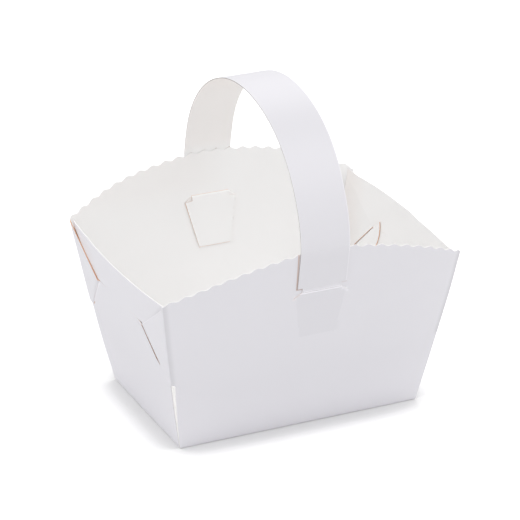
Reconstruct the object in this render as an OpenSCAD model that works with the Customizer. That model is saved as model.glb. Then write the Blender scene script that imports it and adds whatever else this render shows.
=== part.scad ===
// Folding pastry box of white card with an arched strip handle.
// X runs along the long walls, Y from the front wall to the back wall and Z up.
// The origin is the middle of the underside of the base.
// Heights called "up the wall" are measured along the slope of the wall from its base fold.

/* [Tray] */
// Length of the base between its folds
base_l = 150; // [130:1:200]
// Width of the base between its folds
base_w = 100; // [90:1:140]
// Length of the mouth between the corner folds
mouth_l = 185; // [165:1:240]
// Width of the mouth between the corner folds
mouth_w = 139; // [120:1:180]
// Height of the four top corners above the table
corner_h = 98; // [90:1:120]
// Thickness of the card
card_t = 0.5; // [0.3:0.05:0.7]
// How far the middle of a long wall bows out at corner height
long_bow = 9; // [4:0.5:12]
// How far the middle of an end wall bows out at its top edge
end_bow = 4.5; // [2:0.1:7]
// How far the four corners bow out at half height
corner_bow = 1.4; // [0:0.1:2]

/* [Scalloped rims] */
// How far the middle of a long rim rises above its ends, up the wall
rim_rise = 22.8; // [15:0.2:35]
// How far the ends of a long rim stand above the corners, up the wall
rim_step = 2; // [0:0.1:4]
// Power of the rim's curve, from pointed to flat in the middle
rim_power = 1.7; // [1.4:0.1:3]
// Width of one scallop
scallop_w = 8.15; // [6:0.05:12]
// Depth of a scallop from crest to trough
scallop_d = 1.4; // [0.6:0.1:2.4]
// How far the row of scallops is set off to the left of the wall's middle
scallop_shift = 2.6; // [0:0.1:4]

/* [Corner flaps] */
// Height up the wall at which a corner fold starts
notch_up = 45; // [38:1:48]
// Radius of a corner fold
fold_r = 1.5; // [1:0.1:2]
// Widest gap between the two walls, just below a corner fold
notch_gap = 1.9; // [1:0.1:3]
// How far a flap stands off the top corner of the end wall
flap_stand = 2.4; // [2:0.1:3.5]
// Lower end of the hook slit, inwards from the corner
slit_low_in = 7.5; // [6:0.5:10]
// Lower end of the hook slit, up the wall
slit_low_up = 50.5; // [50:0.5:54]
// Upper end of the hook slit, inwards from the corner
slit_top_in = 32; // [28:0.5:34]
// Upper end of the hook slit, up the wall
slit_top_up = 75; // [70:0.5:78]
// Length of the level cut that runs on from the slit's upper end
slit_run = 17.5; // [10:0.5:20]
// How far the tip of the hook reaches past the slit, inwards
hook_in = 5.5; // [3:0.5:8]
// How far the tip of the hook reaches above the slit
hook_up = 6.5; // [3:0.5:9]
// How far the belly of the hook is drawn out beyond its tip
hook_fat = 4.5; // [2:0.5:6]

/* [Handle] */
// Width of the strip
strip_w = 30; // [22:0.5:38]
// Height of the top of the handle above the table
handle_h = 193.6; // [170:0.2:230]
// Width of the neck that passes through the wall
neck_w = 24; // [18:0.5:28]
// Length of the neck between the strip's shoulders and the tab's
neck_l = 6; // [5:0.5:8]
// Height of the middle of the neck up the wall
neck_up = 98.5; // [90:0.5:104]
// Width of the tab at its shoulders
tab_w = 33; // [28:0.5:38]
// Width of the tab at its tip
tab_tip_w = 21; // [14:0.5:26]
// Length of the tab from its shoulders to its tip
tab_l = 28; // [20:0.5:34]

/* [Hidden] */

// Clearance between two sheets that lie on each other
gap = 0.2;
// Clearance between the neck and the ends of its slit
neck_gap = 0.25;
// Width of a plain knife cut
cut_w = 0.4;
// Distance over which a sheet steps from one side of a wall to the other
step_l = 1.4;
// Space between the edge of an end wall and the long wall beside it
seam_gap = 0.4;

// Columns and rows of a long wall, columns of a corner flap, and rim points in each column
wall_cols = 26;
row_share = [0, notch_up / 2 / long_len(), notch_up / long_len(), 0.56, 0.7, 0.84, 1];
notch_row = 2;
top_row = len(row_share) - 1;
flap_cols = 10;
rim_fine = 9;
// Columns and rows of an end wall
end_cols = 14;
end_rows = 5;
// Points along half of the handle's arch
arch_pts = 32;

// Share of a wall's bow and of a corner's bow at share t of the corner height
function bulge(t) = t * (2 - t);
function swell(t) = 4 * t * max(0, 1 - t);
function mix(p, q, s) = p + (q - p) * s;
function unit(v) = v / norm(v);
function bend(p, c, q, s) = mix(mix(p, c, s), mix(c, q, s), s);

// Slope lengths of the walls from base to corner height
end_out = (mouth_l - base_l) / 2 - flap_stand;
function long_len() = norm([corner_h, (mouth_w - base_w) / 2]);
function end_len() = norm([corner_h, end_out]);
function half_l(t) = mix(base_l, mouth_l, t) / 2 + corner_bow * swell(t);
function half_w(t) = mix(base_w, mouth_w, t) / 2 + corner_bow * swell(t);

// Outer face of the front wall at share s of its half length and share t of the corner height
function front_y(s, t) = -mix(base_w, mouth_w, t) / 2 - mix(long_bow * bulge(t), corner_bow * swell(t), pow(s, 4));
function front_pt(s, t) = [s * half_l(t), front_y(s, t), corner_h * t];

// Distance along the rim from its middle, which is longer than the chord because of the bow
function along(s) = half_l(1) * (s + 8 / 7 * pow(long_bow / half_l(1), 2) * pow(s, 7));
// Height of the rim as a share of the corner height: an arch, with scallops on it
function rim_arch(s) = 1 + (rim_step + rim_rise * (1 - pow(min(abs(along(s)) / along(1), 1), rim_power))) / long_len();
function scallop(s) = scallop_d / 2 / long_len() * cos(360 * ((along(s) + scallop_shift) / scallop_w - 0.5));
function rim_pt(s) = front_pt(s, rim_arch(s) + scallop(s));

// Outer face of the left end wall, moved out by off
function end_half(t) = half_w(t) - card_t - seam_gap;
function end_x(y, t) =
    -base_l / 2 - end_out * t - mix(end_bow * bulge(t), corner_bow * swell(t), pow(y / end_half(t), 2));
function end_pt(y, t, off = 0) = [end_x(y, t) - off, y, corner_h * t];
// A point of the left end wall, inward of the front corner and up the wall
function end_from_corner(in, up, off = 0) =
    let (t = up / end_len()) end_pt(in - half_w(t), t, off);

// Front left corner fold and its flap. Column 0 is the edge of the front wall, the next ones are the
// rounded fold, then come the flap, its step through the slit and the hook inside the end wall.
function fold_pt(t) = [-half_l(t), -half_w(t), corner_h * t];
function slit_in(r) = mix(slit_low_in, slit_top_in, r);
function slit_up(r) = mix(slit_low_up, slit_top_up, r);
hook_low = [slit_low_in + 2 * step_l, slit_low_up - step_l];
hook_tip = [slit_top_in + hook_in, slit_top_up + hook_up];
hook_belly = [slit_top_in + hook_in + hook_fat, (slit_low_up + slit_top_up) / 2];
function hook_edge(r) = bend(hook_low, hook_belly, hook_tip, r);
function flap_pt(k, r) =
    let (
        t = mix(row_share[notch_row], 1, r),
        wall_edge = front_pt(-1 + fold_r / half_l(t), t),
        outside = end_from_corner(slit_in(r) - step_l / 2, slit_up(r), card_t + gap),
        inside = end_from_corner(slit_in(r) + step_l / 2, slit_up(r), -card_t - gap),
        flap_edge = mix(fold_pt(t), outside, fold_r / norm(outside - fold_pt(t))),
        edge = hook_edge(r),
        hook = end_from_corner(edge[0], edge[1], -card_t - gap)
    )
    k <= 4 ? bend(wall_edge, fold_pt(t), flap_edge, k / 4) :
    k <= 7 ? mix(flap_edge, outside, (k - 4) / 3) :
    mix(inside, hook, (k - 8) / (flap_cols - 8));

// Grid of a long wall with both its flaps: column i from the left hook to the right hook, row j upwards
last_col = 2 * flap_cols + wall_cols;
function is_wall(i) = i >= flap_cols && i <= flap_cols + wall_cols;
function mirror_x(p) = [-p[0], p[1], p[2]];
function row_r(j) = (row_share[j] - row_share[notch_row]) / (1 - row_share[notch_row]);
function col_s(i) = mix(-1, 1, (i - flap_cols) / wall_cols);
// Share of the half length at which the wall ends: at its cut edge below the notch, at the fold above it
function edge_s(j) =
    let (t = row_share[j])
    1 - (j < notch_row ? notch_gap * t / row_share[notch_row] : fold_r) / half_l(t);
function wall_grid(i, j) =
    let (s = col_s(i) * edge_s(j))
    j == top_row ? rim_pt(s) : front_pt(s, row_share[j] * (j <= notch_row ? 1 : rim_arch(s)));
function grid_pt(i, j) =
    i < flap_cols ? flap_pt(flap_cols - i, row_r(j)) :
    i > flap_cols + wall_cols ? mirror_x(flap_pt(i - flap_cols - wall_cols, row_r(j))) :
    wall_grid(i, j);

// Lowest row and outermost columns that a grid point's neighbours can use
function low_row(i) = is_wall(i) ? 0 : notch_row;
function col_at(i, j) = j < notch_row ? max(flap_cols, min(flap_cols + wall_cols, i)) : max(0, min(last_col, i));
function row_at(i, j) = max(low_row(i), min(top_row, j));
function grid_normal(i, j) = unit(cross(
    grid_pt(col_at(i + 1, j), j) - grid_pt(col_at(i - 1, j), j),
    grid_pt(i, row_at(i, j + 1)) - grid_pt(i, row_at(i, j - 1))));

function id(i, j) = i * (top_row + 1) + j;
fine_start = (last_col + 1) * (top_row + 1);
function fine_id(i, k) = fine_start + (i - flap_cols) * (rim_fine - 1) + k - 1;

module long_wall() {
    cells = [for (i = [0:last_col]) for (j = [0:top_row]) [grid_pt(i, max(j, low_row(i))), grid_normal(i, max(j, low_row(i)))]];
    fine = [for (i = [flap_cols:flap_cols + wall_cols - 1]) for (k = [1:rim_fine - 1])
        [rim_pt(mix(col_s(i), col_s(i + 1), k / rim_fine) * edge_s(top_row)),
         unit(mix(grid_normal(i, top_row), grid_normal(i + 1, top_row), k / rim_fine))]];
    all = concat(cells, fine);
    n = len(all);
    pts = concat([for (p = all) p[0]], [for (p = all) p[0] - p[1] * card_t]);
    // The outline runs round the sheet once, along the base fold first
    outline = concat(
        [for (i = [flap_cols:flap_cols + wall_cols]) id(i, 0)],
        [for (j = [1:notch_row]) id(flap_cols + wall_cols, j)],
        [for (i = [flap_cols + wall_cols + 1:last_col]) id(i, notch_row)],
        [for (j = [notch_row + 1:top_row]) id(last_col, j)],
        [for (i = [last_col - 1:-1:flap_cols + wall_cols]) id(i, top_row)],
        [for (i = [flap_cols + wall_cols - 1:-1:flap_cols]) for (k = [rim_fine - 1:-1:0])
            k == 0 ? id(i, top_row) : fine_id(i, k)],
        [for (i = [flap_cols - 1:-1:0]) id(i, top_row)],
        [for (j = [top_row - 1:-1:notch_row]) id(0, j)],
        [for (i = [1:flap_cols]) id(i, notch_row)],
        [for (j = [notch_row - 1:-1:1]) id(flap_cols, j)]);
    outer = concat(
        [for (i = [0:last_col - 1]) for (j = [min(low_row(i), low_row(i + 1)):top_row - 1])
            if (j >= max(low_row(i), low_row(i + 1)) && !(j == top_row - 1 && is_wall(i) && is_wall(i + 1)))
                [id(i, j), id(i, j + 1), id(i + 1, j + 1), id(i + 1, j)]],
        [for (i = [flap_cols:flap_cols + wall_cols - 1])
            concat([id(i + 1, top_row - 1), id(i, top_row - 1), id(i, top_row)],
                [for (k = [1:rim_fine - 1]) fine_id(i, k)], [id(i + 1, top_row)])]);
    inner = [for (f = outer) [for (q = [len(f) - 1:-1:0]) f[q] + n]];
    m = len(outline);
    edge = [for (q = [0:m - 1]) let (a = outline[q], b = outline[(q + 1) % m]) [a, b, b + n, a + n]];
    polyhedron(pts, concat(outer, inner, edge), convexity = 8);
}

module end_wall() {
    grid = [for (i = [0:end_cols]) for (j = [0:end_rows])
        let (t = j / end_rows) end_pt(mix(-1, 1, i / end_cols) * end_half(t), t)];
    n = len(grid);
    w = end_rows + 1;
    pts = concat(grid, [for (p = grid) p + [card_t, 0, 0]]);
    outer = [for (i = [0:end_cols - 1]) for (j = [0:end_rows - 1])
        [i * w + j, (i + 1) * w + j, (i + 1) * w + j + 1, i * w + j + 1]];
    inner = [for (f = outer) [for (q = [3:-1:0]) f[q] + n]];
    outline = concat([for (i = [0:end_cols]) i * w], [for (j = [1:end_rows]) end_cols * w + j],
        [for (i = [end_cols - 1:-1:0]) i * w + end_rows], [for (j = [end_rows - 1:-1:1]) j]);
    m = len(outline);
    edge = [for (q = [0:m - 1]) let (a = outline[q], b = outline[(q + 1) % m]) [b, a, a + n, b + n]];
    polyhedron(pts, concat(outer, inner, edge), convexity = 6);
}

// Slit for the hook of the front left flap, as a prism through the left end wall
module hook_slit() {
    function yz(in, up) = let (t = up / end_len()) [in - half_w(t), corner_h * t];
    low = yz(slit_low_in, slit_low_up);
    top = yz(slit_top_in, slit_top_up);
    dir = unit(top - low);
    side = [dir[1], -dir[0]];
    // The level cut rises a little, and is a hair's breadth wide from a third of its length on
    run_end = top + [slit_run, 0.1 * slit_run];
    run_mid = top + [0.3 * slit_run, 0.06 * slit_run];
    // The flap slants through the slit and spreads it this far to either side
    reach = 0.6 * step_l;
    translate([-mouth_l, 0, 0])
        rotate([90, 0, 90])
            linear_extrude(mouth_l)
                polygon([
                    low - dir * cut_w - side * reach,
                    low - dir * cut_w + side * reach,
                    top + side * reach + dir * cut_w / 2,
                    run_mid - [0, cut_w / 2],
                    run_end - [0, cut_w / 2],
                    run_end + [0, cut_w / 2],
                    run_mid + [0, cut_w / 2],
                    top + dir * 2 * cut_w - side * reach]);
}

// Slit for the neck of the handle, with an ear running down and out at each end
module neck_slit() {
    function z_up(v) = corner_h * v / long_len();
    half = neck_w / 2 + neck_gap;
    ear = [tab_w / 2 + cut_w, z_up(neck_up - neck_l / 2 - cut_w)];
    high = z_up(neck_up + step_l / 2);
    low = z_up(neck_up - step_l / 2);
    rotate([90, 0, 0])
        linear_extrude(mouth_w)
            polygon([
                [-half, high], [half, high], ear + [cut_w, 0], ear - [0, cut_w], [half, low],
                [-half, low], [-ear[0], ear[1] - cut_w], [-ear[0] - cut_w, ear[1]]]);
}

module tray() {
    color([0.93, 0.93, 0.93])
        union() {
            translate([-base_l / 2, -base_w / 2, 0])
                cube([base_l, base_w, card_t]);
            for (turn = [0, 180])
                rotate([0, 0, turn]) {
                    difference() {
                        long_wall();
                        neck_slit();
                    }
                    difference() {
                        end_wall();
                        hook_slit();
                        mirror([0, 1, 0])
                            hook_slit();
                    }
                }
        }
}

// Side view of the handle: middle line of the sheet from the front tab's tip to the top of the arch
strip_off = gap + card_t / 2;
tab_off = -card_t - gap - card_t / 2;
function wall_slope(t) = unit([front_y(0, t + 0.01) - front_y(0, t - 0.01), 0.02 * corner_h]);
function beside_wall(v, off) =
    let (t = v / long_len(), d = wall_slope(t)) [front_y(0, t), corner_h * t] + off * [-d[1], d[0]];
tab_top = neck_up - neck_l / 2;
strip_end = neck_up + neck_l / 2;
rim_top = long_len() * rim_arch(0);
// The strip leaves the wall this far below the top of the rim
leave_l = 2;
spring = beside_wall(rim_top, strip_off);
function arch_pt(a) = [spring[0] * cos(a), spring[1] + (handle_h - card_t / 2 - spring[1]) * sin(a)];
half_path = concat(
    [for (k = [0:4]) beside_wall(mix(tab_top - tab_l, neck_up - step_l / 2, k / 4), tab_off)],
    [for (k = [0:4]) beside_wall(mix(neck_up + step_l / 2, rim_top - leave_l, k / 4), strip_off)],
    [for (k = [0:arch_pts]) arch_pt(90 * k / arch_pts)]);

module handle() {
    count = len(half_path);
    path = concat(half_path, [for (k = [count - 2:-1:0]) [-half_path[k][0], half_path[k][1]]]);
    last = len(path) - 1;
    function side(k, off) =
        let (d = unit(path[min(k + 1, last)] - path[max(k - 1, 0)])) path[k] + off * [-d[1], d[0]];
    function z_up(v) = corner_h * v / long_len();
    color([0.95, 0.95, 0.96])
        intersection() {
            translate([-tab_w, 0, 0])
                rotate([90, 0, 90])
                    linear_extrude(2 * tab_w)
                        polygon(concat(
                            [for (k = [0:last]) side(k, -card_t / 2)],
                            [for (k = [last:-1:0]) side(k, card_t / 2)]));
            translate([0, mouth_w, 0])
                rotate([90, 0, 0])
                    linear_extrude(2 * mouth_w)
                        polygon([
                            [-tab_tip_w / 2, z_up(tab_top - tab_l)], [tab_tip_w / 2, z_up(tab_top - tab_l)],
                            [tab_w / 2, z_up(tab_top)], [neck_w / 2, z_up(tab_top)],
                            [neck_w / 2, z_up(strip_end)], [strip_w / 2, z_up(strip_end)],
                            [strip_w / 2, handle_h + 1], [-strip_w / 2, handle_h + 1],
                            [-strip_w / 2, z_up(strip_end)], [-neck_w / 2, z_up(strip_end)],
                            [-neck_w / 2, z_up(tab_top)], [-tab_w / 2, z_up(tab_top)]]);
        }
}

tray();
handle();
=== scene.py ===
"""Handled pastry box: the looks of the card tray and of its strip handle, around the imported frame.

Every panel is cut out of a flat sheet first, as an outline with its slits, and then bent into place by a
surface function. Lengths are in millimetres until a mesh is written. X runs along the long walls, Y from
the front wall to the back wall and Z up. Corners are named by their side and wall, such as ("left", "front").
"""

import math

import bpy
import numpy as np
from mathutils import Matrix, Vector
from mathutils.geometry import delaunay_2d_cdt

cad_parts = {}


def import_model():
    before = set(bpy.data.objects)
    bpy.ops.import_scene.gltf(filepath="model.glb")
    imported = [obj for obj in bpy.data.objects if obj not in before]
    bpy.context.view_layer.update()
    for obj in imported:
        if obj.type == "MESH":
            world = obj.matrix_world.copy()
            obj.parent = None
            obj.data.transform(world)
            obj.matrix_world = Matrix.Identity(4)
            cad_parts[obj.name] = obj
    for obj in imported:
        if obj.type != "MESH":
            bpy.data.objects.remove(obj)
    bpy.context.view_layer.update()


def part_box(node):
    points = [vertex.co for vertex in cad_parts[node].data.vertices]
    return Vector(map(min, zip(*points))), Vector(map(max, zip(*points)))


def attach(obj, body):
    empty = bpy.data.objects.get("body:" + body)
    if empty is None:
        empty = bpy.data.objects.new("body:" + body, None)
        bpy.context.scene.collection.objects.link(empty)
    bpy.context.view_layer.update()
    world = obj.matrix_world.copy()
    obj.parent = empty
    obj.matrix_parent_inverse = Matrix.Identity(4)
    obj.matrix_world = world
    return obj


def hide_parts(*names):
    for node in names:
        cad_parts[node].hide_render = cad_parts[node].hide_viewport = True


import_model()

MM = 0.001

# Tray
BASE_L, BASE_W = 150.0, 100.0
MOUTH_L, MOUTH_W = 185.0, 139.0
CORNER_H = 98.0
CARD_T = 0.5
LONG_BOW = 9.0
END_BOW = 4.5
FOOT_R = 0.9

# Scalloped rims
RIM_RISE, RIM_STEP, RIM_POWER = 22.8, 2.0, 1.7
SCALLOP_W, SCALLOP_D, SCALLOP_SHIFT = 8.15, 1.4, 2.6

# Corner flaps: distances inwards from the corner and up the wall
FOLD_R = 0.7
FLAP_STAND = 2.4
SLIT_LOW_UP, SLIT_TOP_UP = 50.5, 75.0
SLIT_RUN = 17.5
HOOK_TIP = (37.5, 81.5)
HOOK_BELLY = (42.0, 62.8)
HOOK_LOW = (10.3, 49.1)

# Handle
STRIP_W, NECK_W, TAB_W, TAB_TIP_W = 30.0, 24.0, 33.0, 21.0
NECK_UP, NECK_L, TAB_L = 98.5, 6.0, 28.0
LEAN_FRONT, LEAN_BACK, LEAN_TOP = 0.25, 1.8, 1.0
ARCH_FORWARD = 1.0
ARCH_POWER_FRONT, ARCH_POWER_BACK = 2.0, 1.95
ARCH_HALF_SPAN = 79.0
# In front, near its top, the strip is a little wider and leans a little more
SHOULDER_UP, FRONT_WIDER = 148.0, 0.4

# Clearances, and the widths of knife cuts
GAP = 0.2
CUT_W = 0.4
STEP_L = 1.4
SEAM_GAP = 0.4

# A corner of the box, and below it how each one was left when the box was folded up by hand.
# bow: how far the corner's fold bows out at half height, and end: the same for the edge of the end wall.
# tip: how far its top is bent out. notch and gap: height and width of the notch below the fold.
# pull: how far the end wall's top corner is drawn in. sink: the same lower down. lift: how far it is raised.
# rim: how far the end of the long rim is raised. open: how far the hook slit gapes.
# sag: how far the middle of the flap's top edge is pressed in.
# low and high: how far in from the corner the two ends of the slit lie.
CORNER = {"bow": 1.0, "end": 1.0, "tip": 0.0, "notch": 46.0, "gap": 1.5, "pull": 0.0, "sink": 0.0, "lift": 0.0,
          "rim": 0.0, "open": 0.0, "sag": 0.0, "low": 7.5, "high": 32.0}
FOLDED = {
    ("left", "front"): {**CORNER, "bow": 1.2, "end": 1.2, "notch": 46.9, "gap": 2.8, "open": 1.0, "sag": 0.25},
    ("right", "front"): {**CORNER, "bow": 0.4, "end": 0.4, "tip": -0.3, "gap": 0.4, "rim": -1.0, "open": 0.3},
    ("left", "back"): {**CORNER, "bow": 1.4, "end": 2.2, "tip": 0.5, "notch": 50.6, "gap": 1.9, "pull": -1.4,
                       "sink": 0.2, "lift": 1.3, "rim": -0.6, "low": 4.5},
    ("right", "back"): {**CORNER, "pull": 2.0, "sink": 2.6, "lift": 2.8, "low": 4.0, "high": 29.8},
}
# The right end wall bows less in its front half
FLAT_END = 1.3
# The back rim is a little lower in its left half and higher in its right half: share of its half length, height
BACK_RIM = ((-1.0, 0.0), (-0.85, -0.5), (-0.6, 0.4), (-0.3, 0.1), (0.1, 0.1),
            (0.3, 0.9), (0.5, 1.3), (0.75, 0.8), (1.0, 0.0))
SIDES = {-1: "left", 1: "right"}
WALLS = {-1: "front", 1: "back"}

LONG_LEN = math.hypot(CORNER_H, (MOUTH_W - BASE_W) / 2)
END_OUT = (MOUTH_L - BASE_L) / 2 - FLAP_STAND
END_LEN = math.hypot(CORNER_H, END_OUT)
HALF_MOUTH_L, HALF_MOUTH_W = MOUTH_L / 2, MOUTH_W / 2


def mix(p, q, s):
    return p + (q - p) * s


def smooth(u):
    """Rises from 0 to 1 as u does, level at both ends."""
    u = np.clip(u, 0.0, 1.0)
    return u * u * (3 - 2 * u)


def bulge(t):
    """How far out a bowed wall is at share t of its height: 0 at the foot and 1 at the top."""
    return t * (2 - t)


def swell(t):
    """0 at the foot and at the top, and 1 half way up."""
    return 4 * t * np.clip(1 - t, 0, None)


def points(x, y, z):
    return np.stack(np.broadcast_arrays(x, y, z), -1).astype(float)


def bend(p, c, q, s):
    """The point at share s of the curve from p to q that leaves and arrives along the lines to c."""
    return mix(mix(p, c, s), mix(c, q, s), s)


def folded(key, side_x, side_y):
    """The hand-folded value at a corner, or blended between two corners where a side is an array."""
    value = {k: FOLDED[(SIDES[k[0]], WALLS[k[1]])][key] for k in ((-1, -1), (-1, 1), (1, -1), (1, 1))}
    fx = (np.asarray(side_x, float) + 1) / 2
    fy = (np.asarray(side_y, float) + 1) / 2
    return mix(mix(value[-1, -1], value[1, -1], fx), mix(value[-1, 1], value[1, 1], fx), fy)


def half_l(t, bow=0.0):
    return mix(BASE_L, MOUTH_L, t) / 2 + bow * swell(t)


def half_w(t, bow=0.0):
    return mix(BASE_W, MOUTH_W, t) / 2 + bow * swell(t)


def tipped(side_x, side_y, t):
    return folded("tip", side_x, side_y) * smooth((t - 0.75) / 0.25)


def long_pt(wall, s, t):
    """Outer face of a long wall at share s of its half length and share t of the corner height."""
    side = np.sign(s)
    bow = folded("bow", side, wall)
    tip = tipped(side, wall, np.minimum(t, 1)) * s ** 8
    out = half_w(t) + mix(LONG_BOW * bulge(t), bow * swell(t), s ** 4) + tip
    return points(s * half_l(t, bow * s * s) + side * tip, wall * out, CORNER_H * t)


def corner_pt(side, wall, t):
    bow = folded("bow", side, wall)
    tip = tipped(side, wall, t)
    return points(side * (half_l(t, bow) + tip), wall * (half_w(t, bow) + tip), CORNER_H * t)


def end_half(t):
    """Half the width of an end wall, which stands between the long walls."""
    return half_w(t) - CARD_T - SEAM_GAP


def end_pt(side, y, t, off=0.0):
    """Outer face of an end wall at its own y and share t of the corner height, moved out by off."""
    near = np.sign(y)
    u = np.abs(y) / end_half(t)
    out = BASE_L / 2 + END_OUT * t + mix(END_BOW * bulge(t), folded("end", side, near) * swell(t), u ** 2)
    pull = folded("pull", side, near)
    drawn_in = smooth((u - 0.8) / 0.2) * smooth((t - 0.6) / 0.4)
    pushed_out = smooth((u - 0.5) / 0.5) * smooth((t - 0.4) / 0.5)
    pull = pull * np.where(pull > 0, drawn_in, pushed_out)
    sink = folded("sink", side, near) * smooth((u - 0.4) / 0.6) * smooth((t - 0.35) / 0.3)
    sink = sink * smooth((1.03 - t) / 0.2)
    flat = FLAT_END * (side > 0) * (near < 0) * smooth(u / 0.3) * smooth((1 - u) / 0.25) * smooth(t / 0.6)
    return points(side * (out - pull - sink - flat + off), y, CORNER_H * t)


def along(s):
    """Distance from the middle along a bowed long rim, at share s of its half length."""
    return HALF_MOUTH_L * (s + 8 / 7 * (LONG_BOW / HALF_MOUTH_L) ** 2 * s ** 7)


def rim_up(wall, s):
    """Height of a long rim up its wall, with its scallops. s runs to the right as seen from outside."""
    u = np.abs(along(s)) / along(1.0)
    side = -wall * np.sign(s)
    step = RIM_STEP + folded("rim", side, wall) * u ** 4
    if wall > 0:
        step = step + np.interp(-s, *zip(*BACK_RIM))
    wave = np.cos(2 * math.pi * ((along(s) + SCALLOP_SHIFT) / SCALLOP_W - 0.5))
    return LONG_LEN + step + RIM_RISE * (1 - u ** RIM_POWER) + SCALLOP_D / 2 * wave


# Flat sheet of a long wall: x is the share of the half length times HALF_MOUTH_L, y is up the wall.
# Past the fold, x runs over the flap, through the slit and along the hook.
FOLD_START = HALF_MOUTH_L - FOLD_R
FLAP_START = HALF_MOUTH_L + FOLD_R
FLAP_RUN, STEP_RUN, HOOK_RUN = 26.0, 3.0, 12.0
STEP_START = FLAP_START + FLAP_RUN
HOOK_START = STEP_START + STEP_RUN
HOOK_END = HOOK_START + HOOK_RUN


def flap_surface(wall, side, x, y):
    notch = folded("notch", side, wall)
    gape = folded("open", side, wall)
    t = y / LONG_LEN
    r = (y - notch) / (LONG_LEN - notch)
    corner = corner_pt(side, wall, t)
    edge = long_pt(wall, side * FOLD_START / HALF_MOUTH_L, t)

    def on_end(inwards, up, off):
        te = up / END_LEN
        return end_pt(side, wall * (half_w(te) - inwards), te, off)

    slit_in = mix(folded("low", side, wall), folded("high", side, wall), r)
    slit_up = mix(SLIT_LOW_UP, SLIT_TOP_UP, r)
    lift = CARD_T + GAP
    outside = on_end(slit_in - STEP_L / 2 - 0.2 * gape, slit_up, lift - 0.3 * gape)
    inside = on_end(slit_in + STEP_L / 2 - gape, slit_up, -lift - 1.2 * gape)
    hook_in = bend(HOOK_LOW[0], HOOK_BELLY[0], HOOK_TIP[0], r)
    hook_up = bend(HOOK_LOW[1], HOOK_BELLY[1], HOOK_TIP[1], r)
    hook = on_end(hook_in, hook_up, -lift)
    reach = np.linalg.norm(edge - corner, axis=-1, keepdims=True)
    flap_edge = corner + (outside - corner) * reach / np.linalg.norm(outside - corner, axis=-1, keepdims=True)
    a = x[:, None]
    fold = bend(edge, corner, flap_edge, (a - FOLD_START) / (2 * FOLD_R))
    share = (a - FLAP_START) / FLAP_RUN
    sag = folded("sag", side, wall) * 4 * share * (1 - share) * np.clip(r, 0, 1)[:, None] ** 2
    flap = mix(flap_edge, outside, share) - sag * np.array([side, 0, 0])
    step = mix(outside, inside, smooth((a - STEP_START) / STEP_RUN))
    tongue = mix(inside, hook, (a - HOOK_START) / HOOK_RUN)
    past_flap = np.where(a < HOOK_START, step, tongue)
    return np.where(a < FLAP_START, fold, np.where(a < STEP_START, flap, past_flap))


def foot(surface, y, start):
    """Bends the lowest stretch of a wall in under the fold, onto the plane of the base."""
    low = surface(np.zeros_like(y))
    up = surface(np.full_like(y, FOOT_R))
    inward = up - low
    inward[:, 2] = 0
    flat = start(low)
    return bend(flat, low, up, ((y + FOOT_R) / (2 * FOOT_R))[:, None])


def long_surface(wall):
    def plain(x, y):
        return long_pt(wall, -wall * x / HALF_MOUTH_L, y / LONG_LEN)

    def surface(x, y):
        out = plain(x, y)
        for turn in (-1, 1):
            on_flap = turn * x > FOLD_START
            if on_flap.any():
                out[on_flap] = flap_surface(wall, -wall * turn, turn * x[on_flap], y[on_flap])
        at_foot = y < FOOT_R
        if at_foot.any():
            xs, ys = x[at_foot], y[at_foot]
            out[at_foot] = foot(lambda v: plain(xs, v), ys, lambda low: low - np.array([0, wall * FOOT_R, 0]))
        return out
    return surface


def end_surface(side):
    def plain(x, y):
        t = y / END_LEN
        return end_pt(side, side * x / HALF_MOUTH_W * end_half(t), t)

    def surface(x, y):
        out = plain(x, y)
        at_foot = y < FOOT_R
        if at_foot.any():
            xs, ys = x[at_foot], y[at_foot]
            out[at_foot] = foot(lambda v: plain(xs, v), ys, lambda low: low - np.array([side * FOOT_R, 0, 0]))
        return out
    return surface


def line(p, q, step):
    """Points from p towards q, without q, no further apart than step."""
    n = max(1, math.ceil(math.dist(p, q) / step))
    return [(mix(p[0], q[0], i / n), mix(p[1], q[1], i / n)) for i in range(n)]


def path(corners, step):
    out = []
    for p, q in zip(corners, corners[1:]):
        out += line(p, q, step)
    return out


def closed(corners, step):
    return path(list(corners) + [corners[0]], step)


def inside(loops, q):
    """Which of the points q lie inside the outline and outside its holes."""
    hit = np.zeros(len(q), bool)
    for loop in loops:
        a = np.array(loop)
        b = np.roll(a, -1, 0)
        for (x0, y0), (x1, y1) in zip(a, b):
            if y0 == y1:
                continue
            level = (y0 > q[:, 1]) != (y1 > q[:, 1])
            hit ^= level & (q[:, 0] < (x1 - x0) * (q[:, 1] - y0) / (y1 - y0) + x0)
    return hit


def clear_of(rim, grid, distance):
    """The points of the grid that lie further than a distance from every point of the rim."""
    clear = np.full(len(grid), True)
    for p in rim:
        clear &= np.abs(grid - p).max(-1) > distance
    return grid[clear]


# Steps between the points of a sheet: its grid, its foot fold, its outline, and the base
GRID = 1.7
FOOT_GRID = 0.3
EDGE_STEP = 1.5
BASE_GRID = 3.0
# How far grid points and finer points stay from the outline, and grid points from the patches of finer ones
GRID_CLEAR, FINE_CLEAR, PATCH_CLEAR = 0.45, 0.12, 0.3


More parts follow.
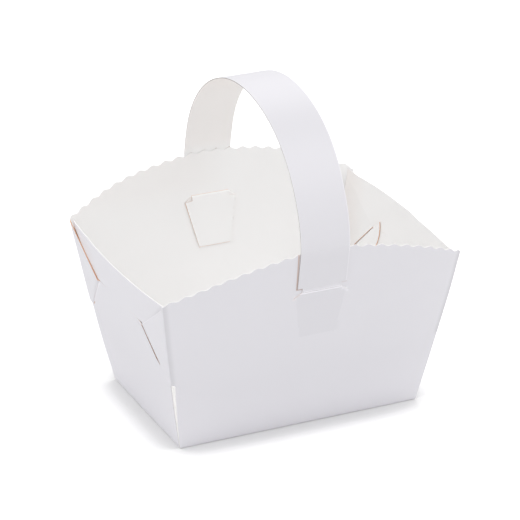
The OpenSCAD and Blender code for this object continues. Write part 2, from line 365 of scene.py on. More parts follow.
def cut_sheet(loops, columns, rows, extra):
    """Triangles of a flat sheet whose first loop is its outline and whose others are its holes."""
    rim = np.array([p for loop in loops for p in loop])
    gx, gy = np.meshgrid(columns, rows)
    grid = np.stack([gx.ravel(), gy.ravel()], -1)
    for fine in extra:
        low, high = fine.min(0) - PATCH_CLEAR, fine.max(0) + PATCH_CLEAR
        grid = grid[~((grid > low) & (grid < high)).all(-1)]
    grid = np.concatenate([clear_of(rim, grid, GRID_CLEAR), *extra])
    grid = grid[inside(loops, grid)]
    flat = np.concatenate([rim, clear_of(rim, grid, FINE_CLEAR)])
    edges, start = [], 0
    for loop in loops:
        n = len(loop)
        edges += [(start + i, start + (i + 1) % n) for i in range(n)]
        start += n
    verts, _, faces, _, _, _ = delaunay_2d_cdt([Vector(p) for p in flat.tolist()], edges, [], 0, 1e-5)
    verts = np.array([tuple(v) for v in verts])
    faces = np.array([f for f in faces if len(f) == 3])
    middle = verts[faces].mean(1)
    faces = faces[inside(loops, middle)]
    used, index = np.unique(faces, return_inverse=True)
    return verts[used], index.reshape(-1, 3)


def normals(surface, q):
    h = 0.02
    dx = surface(q[:, 0] + h, q[:, 1]) - surface(q[:, 0] - h, q[:, 1])
    dy = surface(q[:, 0], q[:, 1] + h) - surface(q[:, 0], q[:, 1] - h)
    n = np.cross(dx, dy)
    return n / np.linalg.norm(n, axis=-1, keepdims=True)


OUTSIDE, INSIDE, CUT = 0, 1, 2


def no_paint(kind, q, p):
    """Shade and painted glow of plain card, for a kind of face, its points q on the flat sheet and p in space.
    Here kind and p are not used.
    """
    return np.ones(len(q)), np.zeros(len(q))


# Darkest and brightest shade that paint may give. A lit edge is close to the brightest.
DARKEST, BRIGHTEST, LIT_EDGE = 0.05, 1.25, 1.22
# Painted light: walls are a little brighter near the floor, standing in for the light that the floor throws up
# at them
FLOOR_LIGHT, FLOOR_LIGHT_UP = 0.07, 45.0


def floor_light(p):
    return FLOOR_LIGHT * smooth(1 - p[:, 2] / FLOOR_LIGHT_UP)


def limited(shade, painted_glow):
    return np.clip(shade, DARKEST, BRIGHTEST), np.clip(painted_glow, 0, 1)


def thick_sheet(surface, loops, columns, rows, extra=(), paint=no_paint):
    """Vertices, faces, face kinds and, for every face corner, painted shade and painted glow of a card panel.
    """
    q, tris = cut_sheet(loops, columns, rows, extra)
    outer = surface(q[:, 0], q[:, 1])
    inner = outer - normals(surface, q) * CARD_T
    n = len(q)
    ways = np.concatenate([tris[:, [0, 1]], tris[:, [1, 2]], tris[:, [2, 0]]])
    there = set(map(tuple, ways.tolist()))
    border = [(a, b) for a, b in ways.tolist() if (b, a) not in there]
    faces = tris.tolist() + (tris[:, ::-1] + n).tolist() + [[b, a, a + n, b + n] for a, b in border]
    kinds = [OUTSIDE] * len(tris) + [INSIDE] * len(tris) + [CUT] * len(border)
    tones = [np.stack(paint(kind, q, outer), -1) for kind in (OUTSIDE, INSIDE, CUT)]
    corners = [tones[k][i % n] for k, face in zip(kinds, faces) for i in face]
    return np.concatenate([outer, inner]), faces, kinds, np.array(corners)


def card_object(name, panels, materials):
    """One mesh object from several card panels, with crisp cut edges and smooth faces."""
    verts, faces, kinds = [], [], []
    for v, f, k, _ in panels:
        base = sum(map(len, verts))
        verts.append(v)
        faces += [[i + base for i in face] for face in f]
        kinds += k
    mesh = bpy.data.meshes.new(name)
    mesh.from_pydata((np.concatenate(verts) * MM).tolist(), [], faces)
    for m in materials:
        mesh.materials.append(m)
    mesh.polygons.foreach_set("material_index", kinds)
    mesh.polygons.foreach_set("use_smooth", [True] * len(faces))
    mesh.update()
    kind_of = {}
    for poly in mesh.polygons:
        for key in poly.edge_keys:
            kind_of.setdefault(key, set()).add(kinds[poly.index])
    sharp = mesh.attributes.new("sharp_edge", "BOOLEAN", "EDGE")
    sharp.data.foreach_set("value", [len(kind_of.get(tuple(sorted(e.vertices)), ())) > 1 for e in mesh.edges])
    tones = np.concatenate([c for _, _, _, c in panels])
    # Painted shade and painted glow, kept for every face corner
    for i, tone in enumerate(("shade", "painted_glow")):
        mesh.attributes.new(tone, "FLOAT", "CORNER").data.foreach_set("value", tones[:, i].astype(np.float32))
    obj = bpy.data.objects.new(name, mesh)
    bpy.context.collection.objects.link(obj)
    return obj


def span(low, high, step):
    return np.linspace(low, high, max(2, math.ceil((high - low) / step) + 1))


def beam(x, middle, width):
    """A soft-edged line: 1 at its middle, falling to 0 over its width."""
    return np.clip(1 - np.abs(x - middle) / width, 0, 1)


def patch(low, high, step):
    gx, gy = np.meshgrid(span(low[0], high[0], step), span(low[1], high[1], step))
    return np.stack([gx.ravel(), gy.ravel()], -1)


def ribbon(p, q, width, step):
    """Two rows of points on each side of the line from p to q, so that a tone can change sharply there."""
    p, q = np.array(p, float), np.array(q, float)
    d = (q - p) / np.linalg.norm(q - p)
    n = np.array([-d[1], d[0]])
    steps = span(0, np.linalg.norm(q - p), step)[:, None]
    return np.concatenate([p + steps * d + n * w for w in (-1.5 * width, -width / 2, width / 2, 1.5 * width)])


TAB_TOP = NECK_UP - NECK_L / 2
TAB_LOW = TAB_TOP - TAB_L
RIM_TOP = LONG_LEN + RIM_RISE + RIM_STEP
# Painted shade where the tab shows through the front wall: a patch of its own outline, a little darker than the
# card round it, since less light comes through
SHOW_TIP_W = 24.0
SHOW_LEAN = 0.6
SHOW_SHADE = 0.032
# Painted shade in the band beside a corner fold, above the notch, which is darker
BAND_UP, BAND_W, BAND_SHADE = 45.0, 3.6, 0.125
# The strip of the handle starts to lean above the neck, over this height
LEAN_OVER = 40.0


def long_wall_paint(wall):
    strip, neck, ear_end = STRIP_W / 2, NECK_W / 2, TAB_W / 2 + CUT_W

    def paint(kind, q, p):
        shade, painted_glow = no_paint(kind, q, p)
        x, y = q[:, 0] * -wall, q[:, 1]
        ax = np.abs(x)
        if kind == OUTSIDE:
            # Painted shade beside the corner fold
            depth = FOLD_START - ax
            band = smooth((y - BAND_UP) / 3) * smooth((BAND_W - depth) / 3.2) * (depth > -0.1)
            shade -= BAND_SHADE * band

            # Painted shade of the tab showing through the wall
            middle = x - SHOW_LEAN * (TAB_TOP - y) / TAB_L
            half = mix(SHOW_TIP_W / 2, TAB_W / 2 - 1, (y - TAB_LOW) / TAB_L)
            shade -= SHOW_SHADE * (np.abs(middle) < half) * (y > TAB_LOW) * (y < NECK_UP)

            # Line of brown shadow down the left edge of the strip
            run = (y > NECK_UP + 2.6) * (y < RIM_TOP)
            lean = LEAN_FRONT * smooth((CORNER_H * y / LONG_LEN - NECK_UP) / LEAN_OVER)
            line = (x < 0) * run * beam(ax, strip + 0.25 - lean, 0.5)
            shade -= 0.35 * line
            painted_glow += 0.6 * line

            # Shadow under the two shoulders, where the strip narrows to its neck
            shoulder = beam(y, NECK_UP + NECK_L / 2 - 0.5, 0.7) * (ax > neck - 0.3) * (ax < strip + 0.6)
            shade -= np.where(x < 0, 0.35, 0.12) * shoulder
            painted_glow += np.where(x < 0, 0.4, 0.1) * shoulder

            # Lit lower lip of the slit, and the thin lit lines down to its two ends
            lip = (ax < neck + 1.0) * smooth((y - NECK_UP + 1.4) / 0.4) * (y < NECK_UP)
            shade = mix(shade, BRIGHTEST, lip)
            ear_y = mix(NECK_UP - 0.3, TAB_TOP - 0.6, (ax - neck) / (ear_end - neck))
            ear = (wall < 0) * (ax > neck) * (ax < ear_end) * smooth((0.6 - np.abs(y - ear_y)) / 0.3)
            shade += np.where(x > 0, 0.16, 0.06) * ear
            painted_glow += 0.08 * ear * (x < 0)

            # Lit top edge of the front left flap
            on_flap = (ax > FLAP_START - 0.3) * (y > LONG_LEN - 0.3) * (wall < 0) * (x < 0)
            shade = np.where(on_flap, LIT_EDGE, shade)
            shade += floor_light(p)
        if kind == INSIDE and wall > 0:
            # Painted shadow round the tab that hangs inside: brown down its left edge, along its foot and over
            # its top
            edge = mix(TAB_TIP_W / 2, TAB_W / 2, (y - TAB_LOW) / TAB_L)
            left = (x < 0) * (y > TAB_LOW - 0.5) * (y < TAB_TOP) * (ax > edge - 0.2) * (ax < edge + 0.3)
            foot_line = (ax < TAB_TIP_W / 2) * (y < TAB_LOW + 0.2) * (y > TAB_LOW - 0.3)
            top_line = (ax < neck) * (y > NECK_UP) * (y < NECK_UP + 0.55)
            shade -= 0.05 * left
            painted_glow += 0.7 * left + 0.5 * foot_line + 0.35 * top_line
            # Behind the strip the wall is a little darker and warmer, since less light comes through it
            behind = smooth((y - 92) / 18) * smooth((16 - x) / 26)
            painted_glow += 0.022 * behind
            shade -= 0.012 * behind
        if kind == INSIDE:
            # Painted warm shade on the tongue's inner face beside the hook's leading edge
            at_hook = (ax > HOOK_END - 0.9) * (x * wall < 0)
            painted_glow += 0.3 * at_hook
        if kind == CUT:
            # Painted glow and shade on cut edges: in the handle's slit, along the back left flap's top and on
            # the hooks; painted shade by the notch, and a painted highlight on the front slit's edges
            in_slit = (ax < TAB_W / 2 + 3) * (np.abs(y - NECK_UP + 1) < 4)
            ear = in_slit * (ax > neck + 0.3)
            if wall > 0:
                painted_glow += 0.85 * ear * (x > 0) + 0.15 * ear * (x < 0) + 0.6 * in_slit * (1 - ear)
                shade -= 0.45 * ear * (x > 0)
            else:
                painted_glow += 0.25 * ear * (x < 0)
                shade += 0.06 * in_slit * ~(ear & (x < 0))
            top_edge = (ax > FLAP_START - 0.5) * (y > LONG_LEN - 0.5) * (ax < STEP_START)
            top_edge_glow = top_edge * (x < 0) * (wall > 0)
            painted_glow += 0.85 * top_edge_glow
            shade -= 0.08 * top_edge_glow
            by_notch = (ax < FLAP_START) * (y < 50) * (y > 1)
            shade -= 0.1 * by_notch
            hook = (ax > STEP_START + 1) * (y > 30)
            painted_glow += 0.9 * hook
            shade -= 0.05 * hook
        return limited(shade, painted_glow)
    return paint


def long_wall_panel(wall):
    round_off, end_of_rim = 1.0, FOLD_START + 0.6

    def side_edge(turn):
        """The sheet's edge from the base up over the flap to the rim, for its right (1) or left (-1) side."""
        side = -wall * turn
        notch = folded("notch", side, wall)
        notch_x = HALF_MOUTH_L - folded("gap", side, wall)
        rim = (end_of_rim, float(rim_up(wall, turn * end_of_rim / HALF_MOUTH_L)))
        return path([
            (HALF_MOUTH_L, -FOOT_R), (HALF_MOUTH_L, 0), (notch_x, notch - round_off),
            (notch_x + 0.3 * round_off, notch - 0.3 * round_off), (notch_x + round_off, notch),
            (FLAP_START, notch), (STEP_START, notch), (HOOK_START, notch), (HOOK_END, notch),
            (HOOK_END, LONG_LEN), (HOOK_START, LONG_LEN), (STEP_START, LONG_LEN), (FLAP_START, LONG_LEN),
            (HALF_MOUTH_L + 0.3, LONG_LEN + 0.1), rim], EDGE_STEP)

    rim_x = span(-end_of_rim, end_of_rim, 0.9)
    rim = [(x, float(rim_up(wall, x / HALF_MOUTH_L))) for x in rim_x[::-1]]
    left = [(-x, y) for x, y in side_edge(-1)[::-1]]
    outline = path([(-HALF_MOUTH_L, -FOOT_R), (HALF_MOUTH_L, -FOOT_R)], BASE_GRID)
    outline += side_edge(1) + rim + left[:-1]

    # The handle's slit: level over the neck, with an ear at each end that slopes down for the tab's shoulder
    half = NECK_W / 2 + 0.25
    ear_x, ear_y = TAB_W / 2 + CUT_W, TAB_TOP - CUT_W
    thin = 0.15
    slit = closed([
        (-half, NECK_UP - 0.5), (-half - 0.1, NECK_UP - 0.25), (-ear_x, ear_y - thin), (-ear_x - thin, ear_y),
        (-half - 0.1, NECK_UP), (-half, NECK_UP + 0.3), (half, NECK_UP + 0.3), (half + 0.1, NECK_UP),
        (ear_x + thin, ear_y), (ear_x, ear_y - thin), (half + 0.1, NECK_UP - 0.25), (half, NECK_UP - 0.5),
    ], EDGE_STEP)

    crease = span(FOLD_START - 5, FOLD_START - 0.5, 0.7)
    beyond = np.concatenate([
        crease,
        span(FOLD_START, FLAP_START, 0.35),
        span(FLAP_START + 1, STEP_START, GRID),
        span(STEP_START + 0.5, HOOK_START, 0.5),
        span(HOOK_START + 1, HOOK_END - 1, 1.5),
        [HOOK_END - 0.6],
    ])
    columns = np.concatenate([-beyond[::-1], span(-crease[0] + 1.6, crease[0] - 1.6, GRID), beyond])
    rows = np.concatenate([
        span(-FOOT_R, FOOT_R, FOOT_GRID),
        span(2.2, LONG_LEN - 1.5, GRID),
        [LONG_LEN - 0.6],
        span(LONG_LEN + 1, 125, GRID),
    ])

    # Finer points where the paint changes sharply: round the slit's ends, at its lip, beside strip and tab
    edge_x, tip_x = STRIP_W / 2 + 0.5, SHOW_TIP_W / 2
    extra = []
    for turn in (-1, 1):
        extra.append(patch((turn * 14 - 3.4, NECK_UP - 1.6), (turn * 14 + 3.4, NECK_UP + 5.2), 0.4))
    extra.append(patch((-10.2, NECK_UP - 1.9), (10.2, NECK_UP - 0.5), 0.45))
    for turn in (-1, 1):
        extra.append(ribbon((turn * edge_x, NECK_UP + 5.6), (turn * edge_x, RIM_TOP - 1.5), 0.35, 1.3))
        if wall < 0:
            extra.append(ribbon((turn * tip_x, TAB_LOW), (turn * (TAB_W / 2 - 1.4), TAB_TOP - 3), 0.3, 1.5))
        else:
            low_corner = (turn * (TAB_TIP_W / 2 + 0.1), TAB_LOW)
            extra.append(ribbon(low_corner, (turn * (TAB_W / 2 - 0.3), TAB_TOP - 2), 0.3, 1.2))
    extra.append(ribbon((-tip_x + 2, TAB_LOW), (tip_x - 2, TAB_LOW), 0.3, 1.5))
    return thick_sheet(long_surface(wall), [outline, slit], columns, rows, extra, long_wall_paint(wall))


def end_wall_paint(side):
    def paint(kind, q, p):
        shade, painted_glow = no_paint(kind, q, p)
        t = q[:, 1] / END_LEN
        near = side * np.sign(q[:, 0])
        inwards = half_w(t) - np.abs(q[:, 0]) / HALF_MOUTH_W * end_half(t)
        up = q[:, 1]
        gape = folded("open", side, near)
        # Distance beyond the flap's top edge, and beyond the slit, on the side that the flap leaves bare
        low_in, top_in = folded("low", side, near), folded("high", side, near)
        reach = np.hypot(top_in, END_LEN - SLIT_TOP_UP)
        past_top = ((inwards - top_in) * (END_LEN - SLIT_TOP_UP) + (up - SLIT_TOP_UP) * top_in) / reach
        rise, run = SLIT_TOP_UP - SLIT_LOW_UP, top_in - low_in
        past_slit = ((inwards - low_in) * rise - (up - SLIT_LOW_UP) * run) / np.hypot(rise, run)
        if kind == OUTSIDE:
            # Painted warm shade under the flap, where light only comes through it, and by the back left flap
            # that painted shade spreads past its edge
            under = (past_slit < -1.0) * smooth((up - 50) / 1.5)
            back = (side < 0) * (near > 0)
            fade = np.exp(-np.clip(past_top, 0, 9) / 2.0)
            covered = past_top < np.where(back, -0.2, -1.5)
            bare = back * (past_top >= -0.2) * 0.16 * fade
            painted_glow += under * (0.75 * covered + bare)
            shade -= under * back * 0.05 * fade

            # Lit lip of the back left slit, and a painted brown shadow spot at its lower end
            lip = back * (np.abs(past_slit - 0.4) < 0.7) * (up > SLIT_LOW_UP + 3) * (up < SLIT_TOP_UP)
            shade += 0.15 * lip
            spot = back * (past_slit > -0.6) * (past_slit < 1.0) * (np.abs(up - SLIT_LOW_UP - 1) < 1.3)
            painted_glow += 0.6 * spot
            shade -= 0.25 * spot

            # Painted shade: dark line in the open front left corner
            seam = (side < 0) * (near < 0) * (np.abs(q[:, 0]) > HALF_MOUTH_W - 0.3) * (up < 47) * (up > 2)
            shade -= 0.75 * seam
            shade += floor_light(p)
        if kind == INSIDE:
            # Painted shade: the flap outside dims the wall, and the corner at the back is darker and warmer
            cover = (past_top < 0) * (past_slit < 0) * (up > 44)
            shade -= 0.02 * cover
            seam = smooth(1 - inwards / 24) * smooth((up - 30) / 30) * (near > 0)
            painted_glow += 0.075 * seam
            shade -= 0.045 * seam
        if kind == CUT:
            # Painted glow and shade on the edges of the hook slits, and a painted highlight with a little glow
            # on their level cuts
            at_slit = (np.abs(past_slit) < 3) * (inwards > 3) * (up < SLIT_TOP_UP + 3) * (up > 55)
            level = (inwards > top_in + 1.0) * (up > 70) * (up < SLIT_TOP_UP + 3)
            at_slit = at_slit * ~level
            painted_glow += at_slit * 0.95 + level * 0.15
            shade += level * 0.07 - at_slit * np.where(gape > 0.5, 0.6, 0.0)
        return limited(shade, painted_glow)
    return paint


def end_wall_panel(side):
    def flat(inwards, up, turn):
        """A point inwards from a corner and up the end wall, on the flat sheet."""
        t = up / END_LEN
        return (turn * (half_w(t) - inwards) / end_half(t) * HALF_MOUTH_W, up)

    def top(x):
        near = side * np.sign(x)
        u = abs(x) / HALF_MOUTH_W
        sharp = 0.85 if side > 0 else 0.4
        full = 0.8 * (side > 0) * (near > 0) * float(smooth(u / 0.6) * smooth((1 - u) / 0.1))
        return END_LEN + full + folded("lift", side, near) * float(smooth((u - sharp) / (1 - sharp)))

    w = HALF_MOUTH_W
    outline = path([(-w, -FOOT_R), (w, -FOOT_R)], BASE_GRID)
    outline += path([(w, -FOOT_R), (w, FOOT_R), (w, top(w))], 2.0)
    outline += [(x, top(x)) for x in span(-w, w, GRID)[:0:-1]]
    outline += path([(-w, top(-w)), (-w, FOOT_R), (-w, -FOOT_R)], 2.0)
    loops = [outline]
    extra = []
    for turn in (-1, 1):
        near = side * turn
        low = np.array([float(folded("low", side, near)), SLIT_LOW_UP])
        up = np.array([float(folded("high", side, near)), SLIT_TOP_UP])
        d = (up - low) / np.linalg.norm(up - low)
        across = np.array([d[1], -d[0]])

        # The hook's slit: a slanting mouth from low to up, and a nearly level cut on from its upper end
        run_mid = up + np.array([0.3, 0.06]) * SLIT_RUN
        run_end = up + np.array([1.0, 0.1]) * SLIT_RUN
        gape = float(folded("open", side, near))
        near_lip, far_lip = across * STEP_L * 0.6, across * (0.4 + 1.4 * gape)
        tick = np.array([0, CUT_W / 5 if side < 0 else CUT_W / 8])
        end_lip = across * 0.4 * (1 - gape)
        shape = [
            low - d * CUT_W - near_lip, low - d * CUT_W + end_lip, mix(low, up, 0.08) + end_lip,
            mix(low, up, 0.33) + far_lip, up + far_lip * 0.8 + d * CUT_W / 2,
            run_mid - tick, run_end - tick / 4, run_end + tick / 4, run_mid + tick,
            up + d * 2 * CUT_W - near_lip,
        ]
        loop = [flat(p[0], p[1], turn) for p in shape]
        loops.append(closed(loop if turn < 0 else loop[::-1], 1.2))

        # Finer points along the flap's top edge and beside the slit
        edge = [flat(0.5, END_LEN - 1, turn), flat(up[0] - 1, up[1] + 2, turn)]
        extra.append(ribbon(*edge, 0.8, 1.5))
        beside = [flat(*(p + across * (far_lip[0] / across[0] + 0.9)), turn) for p in (low - d, up - d * 2)]
        extra.append(ribbon(*beside, 0.5, 1.3))
    edge = HALF_MOUTH_W - 0.6
    columns = np.concatenate([[-edge], span(-edge + 1.2, edge - 1.2, GRID), [edge]])
    rows = np.concatenate([span(-FOOT_R, FOOT_R, FOOT_GRID), span(2.2, END_LEN + 3, GRID)])
    return thick_sheet(end_surface(side), loops, columns, rows, extra, end_wall_paint(side))


def base_panel():
    hl, hw = BASE_L / 2 - FOOT_R, BASE_W / 2 - FOOT_R
    loop = closed([(-hl, -hw), (hl, -hw), (hl, hw), (-hl, hw)], BASE_GRID)

    def under(x, y):
        return points(-x, y, np.zeros_like(x))

    columns, rows = (span(-h + BASE_GRID, h - BASE_GRID, BASE_GRID) for h in (hl, hw))
    return thick_sheet(under, [loop], columns, rows)


def handle_panel(top_z):
    """The strip: x runs across it and y along it, from the front tab's tip to the back one's."""
    strip_off = GAP + CARD_T
    tab_off = -CARD_T - GAP

    def beside(v, off):
        """A point in the plane across the wall, at height v up the front wall and off its outer face."""
        t = v / LONG_LEN
        p = np.array([-half_w(t) - LONG_BOW * bulge(t), CORNER_H * t])
        e = 0.01
        out = -(half_w(t + e) - half_w(t - e)) - LONG_BOW * (bulge(t + e) - bulge(t - e))
        d = np.array([out, 2 * e * CORNER_H])
        d /= np.linalg.norm(d)
        return p + off * np.array([-d[1], d[0]])

    # The tab inside the wall, the neck through the slit, and the strip outside the wall up to the rim
    half = [beside(v, tab_off) for v in span(TAB_LOW, NECK_UP - 0.8, 1.0)]
    for s in span(0, 1, 0.1):
        half.append(beside(mix(NECK_UP - 0.6, NECK_UP + 0.5, s), mix(tab_off, strip_off, float(smooth(s)))))
    half += [beside(v, strip_off) for v in span(NECK_UP + 0.8, RIM_TOP - 1, 1.0)]
    spring = beside(RIM_TOP, strip_off)

    def leg(power):
        """Half of the strip, up to the top of its arch. Power 2 gives a quarter of an ellipse."""
        turn = span(0, math.pi / 2, 0.02)
        over, up = np.cos(turn) ** (2 / power), np.sin(turn) ** (2 / power)
        return np.concatenate([half, np.stack([spring[0] * over, spring[1] + (top_z - spring[1]) * up], -1)])

    front, back = leg(ARCH_POWER_FRONT), leg(ARCH_POWER_BACK)
    line_yz = np.concatenate([front, back[-2::-1] * [-1, 1]])
    length = np.concatenate([[0], np.cumsum(np.linalg.norm(np.diff(line_yz, axis=0), axis=1))])
    total = length[-1]

    def surface(x, y):
        py = np.interp(y, length, line_yz[:, 0])
        pz = np.interp(y, length, line_yz[:, 1])
        to_back = smooth(0.5 + py / 2 / ARCH_HALF_SPAN)
        lean = mix(LEAN_FRONT, LEAN_BACK, to_back) * smooth((pz - NECK_UP) / LEAN_OVER)
        high = (1 - to_back) * smooth((pz - SHOULDER_UP) / LEAN_OVER)
        lean = lean + LEAN_TOP * high
        wide = 1 + 2 * FRONT_WIDER / STRIP_W * high
        rise = np.clip((pz - spring[1]) / (top_z - spring[1]), 0, 1)
        return points(x * wide + lean, py - ARCH_FORWARD * rise ** 2, pz)

    def at(v):
        """Distance along the strip of the point at height v up the wall, below the arch."""
        return float(np.interp(CORNER_H * v / LONG_LEN, np.array(half)[:, 1], length[:len(half)]))

    shoulder, strip, rim = at(TAB_TOP), at(NECK_UP + NECK_L / 2), at(RIM_TOP - 1)

    def paint(kind, q, p):
        shade, painted_glow = no_paint(kind, q, p)
        x, y = q[:, 0], np.minimum(q[:, 1], total - q[:, 1])
        in_front = q[:, 1] < total / 2
        left = x < 0
        if kind == OUTSIDE:
            # Painted shade: darker over the wall, which lets less light through the strip, and on the shoulder
            # of the arch that is turned from the light
            below_rim = smooth((rim + 9 - y) / 16) * (y > strip - 1)
            shade -= 0.04 * below_rim
            over = (y - rim) / (total / 2 - rim)
            shade -= in_front * 0.085 * np.exp(-((over - 0.64) / 0.17) ** 2)

            # Lit right edge in front, and lit neck where it enters the slit
            shade += 0.14 * (np.abs(x) > STRIP_W / 2 - 0.45) * ~left * in_front * (y > strip)
            entering = in_front * (y > at(NECK_UP - 1.2)) * (y < at(NECK_UP + 0.7))
            shade = np.where(entering, 1.16, shade)
        if kind == INSIDE:
            # Painted warm shade under the arch, warmer and darker near its top, and a painted lit line along
            # the left edges of the tabs
            on_arch = smooth((y - rim) / 8)
            near_top = smooth((y - rim - 40) / 40)
            painted_glow += 0.045 * on_arch + 0.04 * near_top
            shade -= 0.02 * near_top
            half_tab = mix(TAB_TIP_W / 2, TAB_W / 2, y / shoulder)
            shade += 0.05 * (np.abs(x) > half_tab - 0.7) * left * (y < shoulder)

            # Broken line of shadow where the back strip goes down behind the scallops of the rim
            rise = rim_up(1, -x / HALF_MOUTH_L)
            phase = ((along(-x / HALF_MOUTH_L) + SCALLOP_SHIFT) / SCALLOP_W - 0.5) % 1
            height = NECK_UP + (y - at(NECK_UP))
            dash = ~in_front * (np.abs(height - rise - 0.2) < 0.3) * (phase > 0.05) * (phase < 0.45)
            shade -= 0.5 * dash
            painted_glow += 0.4 * dash
        if kind == CUT:
            # Painted shade and a little glow on the strip's cut edges, darker on the left and along the strip,
            # and darker and warmer on the back tab's edges, most on its left
            edge = np.where(y > strip - 1, 0.45, 0.1) * np.where(left, 1.0, 0.3)
            tab = (y < strip) * ~in_front
            dark = tab * left * (y > 0.5)
            shade -= np.where(tab, np.where(dark, 0.25, 0.05), edge)
            painted_glow += np.where(tab, np.where(dark, 0.65, 0.3), 0.1)
        return limited(shade, painted_glow)

    near = [(TAB_TIP_W / 2, 0.0), (TAB_W / 2, shoulder), (NECK_W / 2, shoulder + 0.4),
            (NECK_W / 2, strip), (STRIP_W / 2, strip + 0.2)]
    right = near + [(x, total - y) for x, y in near[::-1]]
    loop = closed(right + [(-x, y) for x, y in right[::-1]], 1.2)
    rows = np.concatenate([
        span(0.8, shoulder, 1.2),
        span(shoulder + 0.3, strip, 0.4),
        span(strip + 0.8, rim - 6.5, 1.2),
        span(rim - 6.2, rim + 2, 0.4),
        span(rim + 3, total / 2, 1.2),
    ])
    rows = np.concatenate([rows, total - rows[-2::-1]])
    edges = np.array([STRIP_W / 2 - 0.4, STRIP_W / 2 - 0.7])
    columns = np.concatenate([-edges, span(-STRIP_W / 2 + 1.5, STRIP_W / 2 - 1.5, 0.9), edges[::-1]])
    return thick_sheet(surface, [loop], columns, rows, (), paint)


# Painted glow: the tone given to the card in its creases and gaps, where light only comes through it
PAINTED_GLOW_TONE = (0.86, 0.42, 0.20)


def card_material(name, color, roughness, mottle, grain):
    """White board: a faint cloudy tone, fibres in the coating and a soft sheen."""
    mat = bpy.data.materials.new(name)
    mat.use_nodes = True
    nodes, links = mat.node_tree.nodes, mat.node_tree.links
    bsdf = nodes["Principled BSDF"]
    coords = nodes.new("ShaderNodeTexCoord")
    cloud = nodes.new("ShaderNodeTexNoise")
    cloud.inputs["Scale"].default_value = 45.0
    cloud.inputs["Detail"].default_value = 4.0
    fibre = nodes.new("ShaderNodeTexNoise")
    fibre.inputs["Scale"].default_value = 1400.0
    fibre.inputs["Detail"].default_value = 3.0
    links.new(coords.outputs["Object"], cloud.inputs["Vector"])
    links.new(coords.outputs["Object"], fibre.inputs["Vector"])
    tone = nodes.new("ShaderNodeMix")
    tone.data_type = "RGBA"
    tone.inputs["A"].default_value = (*[c * (1 - mottle) for c in color], 1)
    tone.inputs["B"].default_value = (*[min(1, c * (1 + mottle)) for c in color], 1)
    links.new(cloud.outputs["Fac"], tone.inputs["Factor"])
    # Painted shade scales the base colour, and painted glow tints it towards the glow tone, standing in for
    # light through and between the card
    shade, painted_glow = (nodes.new("ShaderNodeAttribute") for _ in range(2))
    shade.attribute_name, painted_glow.attribute_name = "shade", "painted_glow"
    glow = nodes.new("ShaderNodeMix")
    glow.data_type = "RGBA"
    glow.inputs["B"].default_value = (*PAINTED_GLOW_TONE, 1)
    links.new(painted_glow.outputs["Fac"], glow.inputs["Factor"])
    links.new(tone.outputs["Result"], glow.inputs["A"])
    dim = nodes.new("ShaderNodeVectorMath")
    dim.operation = "SCALE"
    links.new(glow.outputs["Result"], dim.inputs["Vector"])
    links.new(shade.outputs["Fac"], dim.inputs["Scale"])
    links.new(dim.outputs["Vector"], bsdf.inputs["Base Color"])
    rough = nodes.new("ShaderNodeMapRange")
    rough.inputs["To Min"].default_value = roughness - 0.06
    rough.inputs["To Max"].default_value = roughness + 0.06
    links.new(fibre.outputs["Fac"], rough.inputs["Value"])
    links.new(rough.outputs["Result"], bsdf.inputs["Roughness"])
    bump = nodes.new("ShaderNodeBump")
    bump.inputs["Strength"].default_value = grain
    bump.inputs["Distance"].default_value = 0.00005
    links.new(fibre.outputs["Fac"], bump.inputs["Height"])
    links.new(bump.outputs["Normal"], bsdf.inputs["Normal"])
    bsdf.inputs["Specular IOR Level"].default_value = 0.35
    return mat


# In the order of the kinds of face: outside, inside and cut edge
card = [
    card_material("card_outside", (0.790, 0.779, 0.818), 0.45, 0.006, 0.25),
    card_material("card_inside", (0.958, 0.952, 0.948), 0.62, 0.008, 0.35),
    card_material("card_cut_edge", (0.930, 0.920, 0.918), 0.85, 0.02, 0.60),
]

tray_panels = [base_panel()]
for sign in (-1, 1):
    tray_panels.append(long_wall_panel(sign))
    tray_panels.append(end_wall_panel(sign))
tray = card_object("tray_card", tray_panels, card)
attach(tray, "root")
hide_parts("tray")

# The photographed arch stands a hair above the solid
HANDLE_HIGHER = 0.1
handle_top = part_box("handle")[1].z / MM + HANDLE_HIGHER
handle = card_object("handle_strip", [handle_panel(handle_top)], card)
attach(handle, "root")
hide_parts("handle")


# Floor: how far it reaches and how far the box's painted shadow reaches on it, in metres, and how much it glows
# to the camera
FLOOR_REACH = 4.0
SHADOW_REACH = 0.021
FLOOR_GLOW = 0.27


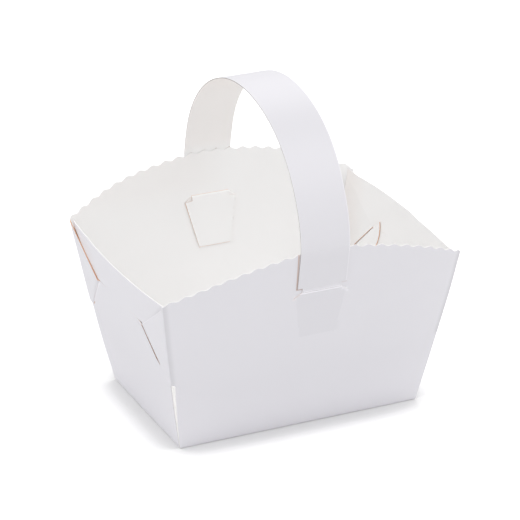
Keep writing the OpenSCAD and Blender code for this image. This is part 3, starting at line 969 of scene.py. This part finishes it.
def floor():
    """A plain white floor that glows white to the camera and fades into the white background. Near the box, a
    painted shadow driven by occlusion darkens its colour and dims its glow, along with the box's own soft
    shadow.
    """
    mesh = bpy.data.meshes.new("floor")
    r = FLOOR_REACH
    mesh.from_pydata([(-r, -r, 0), (r, -r, 0), (r, r, 0), (-r, r, 0)], [], [(0, 1, 2, 3)])
    mat = bpy.data.materials.new("floor_white")
    mat.use_nodes = True
    nodes, links = mat.node_tree.nodes, mat.node_tree.links
    bsdf = nodes["Principled BSDF"]
    bsdf.inputs["Roughness"].default_value = 0.9
    bsdf.inputs["Specular IOR Level"].default_value = 0.0
    seen = nodes.new("ShaderNodeLightPath")
    near = nodes.new("ShaderNodeAmbientOcclusion")
    near.inputs["Distance"].default_value = SHADOW_REACH
    near.samples = 16
    # Painted shadow: the glow fades out where the box occludes the floor
    clear = nodes.new("ShaderNodeMapRange")
    clear.interpolation_type = "SMOOTHSTEP"
    clear.inputs["From Min"].default_value = 0.5
    clear.inputs["To Max"].default_value = FLOOR_GLOW
    links.new(near.outputs["AO"], clear.inputs["Value"])
    glow = nodes.new("ShaderNodeMath")
    glow.operation = "MULTIPLY"
    links.new(seen.outputs["Is Camera Ray"], glow.inputs[0])
    links.new(clear.outputs["Result"], glow.inputs[1])
    # Painted shadow: the floor's colour is darker where the box occludes it
    contact_shade = nodes.new("ShaderNodeMapRange")
    contact_shade.inputs["From Min"].default_value = 0.5
    contact_shade.inputs["From Max"].default_value = 0.75
    contact_shade.inputs["To Min"].default_value = 0.88
    contact_shade.inputs["To Max"].default_value = 0.95
    links.new(near.outputs["AO"], contact_shade.inputs["Value"])
    links.new(contact_shade.outputs["Result"], bsdf.inputs["Base Color"])
    bsdf.inputs["Emission Color"].default_value = (1, 1, 1, 1)
    links.new(glow.outputs["Value"], bsdf.inputs["Emission Strength"])
    mesh.materials.append(mat)
    obj = bpy.data.objects.new("floor", mesh)
    bpy.context.collection.objects.link(obj)


def world(strength):
    w = bpy.data.worlds.new("studio")
    bpy.context.scene.world = w
    w.use_nodes = True
    nodes, links = w.node_tree.nodes, w.node_tree.links
    back = nodes["Background"]
    seen = nodes.new("ShaderNodeLightPath")
    level = nodes.new("ShaderNodeMapRange")
    level.inputs["To Min"].default_value = strength
    level.inputs["To Max"].default_value = 1.0
    links.new(seen.outputs["Is Camera Ray"], level.inputs["Value"])
    links.new(level.outputs["Result"], back.inputs["Strength"])
    back.inputs["Color"].default_value = (1, 1, 1, 1)


def softbox(name, azimuth, elevation, distance, size, power):
    """An area light facing the box. Azimuth 0 is in front and 90 to the right. Metres and watts."""
    a, e = math.radians(azimuth), math.radians(elevation)
    away = Vector((math.sin(a) * math.cos(e), -math.cos(a) * math.cos(e), math.sin(e)))
    data = bpy.data.lights.new(name, "AREA")
    data.shape = "SQUARE"
    data.size = size
    data.energy = power
    obj = bpy.data.objects.new(name, data)
    obj.location = away * distance + Vector((0, 0, 0.08))
    obj.rotation_mode = "QUATERNION"
    obj.rotation_quaternion = away.to_track_quat("Z", "Y")
    bpy.context.collection.objects.link(obj)


WORLD_LIGHT = 0.755

floor()
world(WORLD_LIGHT)
softbox("right", 60, 55, 1.6, 1.4, 5.0)
softbox("top", 0, 90, 1.6, 1.0, 1.8)
softbox("back", 170, 55, 1.6, 1.0, 2.4)
softbox("left", -80, 50, 1.6, 1.4, 3.8)

# Camera, fitted to the photograph's corners: bearing, height and roll in degrees, target and distance in mm
CAM_AZ, CAM_EL, CAM_ROLL = 24.234, 23.502, -0.354
CAM_TARGET = (29.887, 70.948, 50.0)
CAM_DIST = 1711.86
CAM_FOCAL_PX, FRAME_PX, SENSOR = 2800.08, 520, 36.0


def camera():
    a, e, r = map(math.radians, (CAM_AZ, CAM_EL, CAM_ROLL))
    forward = Vector((math.sin(a) * math.cos(e), math.cos(a) * math.cos(e), -math.sin(e)))
    level = Vector((math.cos(a), -math.sin(a), 0))
    upright = level.cross(forward)
    right = level * math.cos(r) + upright * math.sin(r)
    up = upright * math.cos(r) - level * math.sin(r)
    data = bpy.data.cameras.new("camera")
    data.sensor_width = SENSOR
    data.lens = CAM_FOCAL_PX * SENSOR / FRAME_PX
    data.clip_start, data.clip_end = 0.05, 50
    obj = bpy.data.objects.new("camera", data)
    obj.matrix_world = Matrix.Translation((Vector(CAM_TARGET) - forward * CAM_DIST) * MM) @ \
        Matrix((right, up, -forward)).transposed().to_4x4()
    bpy.context.collection.objects.link(obj)
    bpy.context.scene.camera = obj


camera()
bpy.context.scene.view_settings.view_transform = "Standard"
